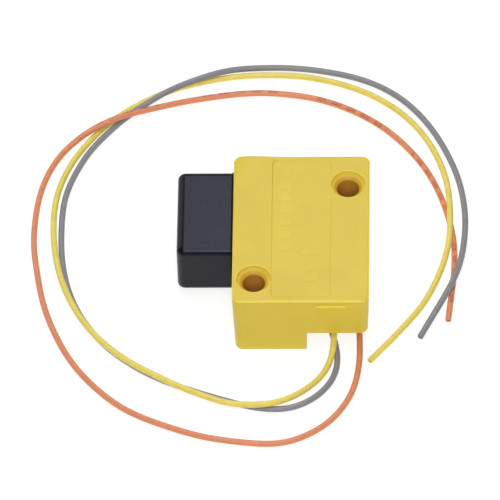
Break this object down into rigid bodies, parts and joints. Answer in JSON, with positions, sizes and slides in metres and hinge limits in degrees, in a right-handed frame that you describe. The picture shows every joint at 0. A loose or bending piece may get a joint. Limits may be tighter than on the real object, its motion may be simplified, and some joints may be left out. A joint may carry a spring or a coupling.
{
  "type": "photoelectric sensor",
  "caption": "Block photoelectric sensor: plastic housing with through screw holes, dark optical cap on one end, and flying leads looped round it.",
  "frame": {"origin": "in the middle of the housing's mounting face", "axes": "+Z out of the large front face along the screw holes, -X towards the optical cap, -Y towards the side where the leads leave"},
  "size_m": [0.1097, 0.1234, 0.0187],
  "materials": {
    "yellow_abs": "satin moulded",
    "yellow_cover": "matt moulded",
    "dark_window": "satin, passes infrared",
    "black_foam": "foam",
    "black_plastic": "matt",
    "clear_lens": "polished clear plastic",
    "led_epoxy": "clear epoxy",
    "dark_epoxy": "dark epoxy",
    "board_green": "solder mask",
    "pin_brass": "plated",
    "chip_black": "moulded epoxy",
    "can_aluminium": "satin",
    "resistor_black": "glazed",
    "capacitor_tan": "fired ceramic",
    "solder": "bright tin",
    "black_rubber": "matt",
    "sealant": "cured bead",
    "pvc_orange": "extruded, satin",
    "pvc_yellow": "extruded, satin",
    "pvc_gray": "extruded, satin",
    "tinned_copper": "tinned strands"
  },
  "bodies": {
    "root": {"housing": "yellow_abs", "back_cover": "yellow_cover", "optical_cap": "dark_window", "cap_seal": "black_foam", "optics_holder": "black_plastic", "emitter_lens": "clear_lens", "receiver_lens": "clear_lens", "emitter_led": "led_epoxy", "receiver_phototransistor": "dark_epoxy", "head_board": "board_green", "board_header": "pin_brass", "main_board": "board_green", "comparator_ic": "chip_black", "output_transistor": "chip_black", "protection_diode": "chip_black", "electrolytic_capacitor": "can_aluminium", "chip_resistors": "resistor_black", "chip_capacitors": "capacitor_tan", "solder_joints": "solder", "wire_grommet": "black_rubber", "entry_sealant": "sealant", "tail_orange": "pvc_orange", "tail_yellow": "pvc_yellow", "tail_gray": "pvc_gray", "conductors": "tinned_copper", "wire_orange": "pvc_orange", "wire_yellow": "pvc_yellow", "wire_gray": "pvc_gray"}
  },
  "joints": []
}
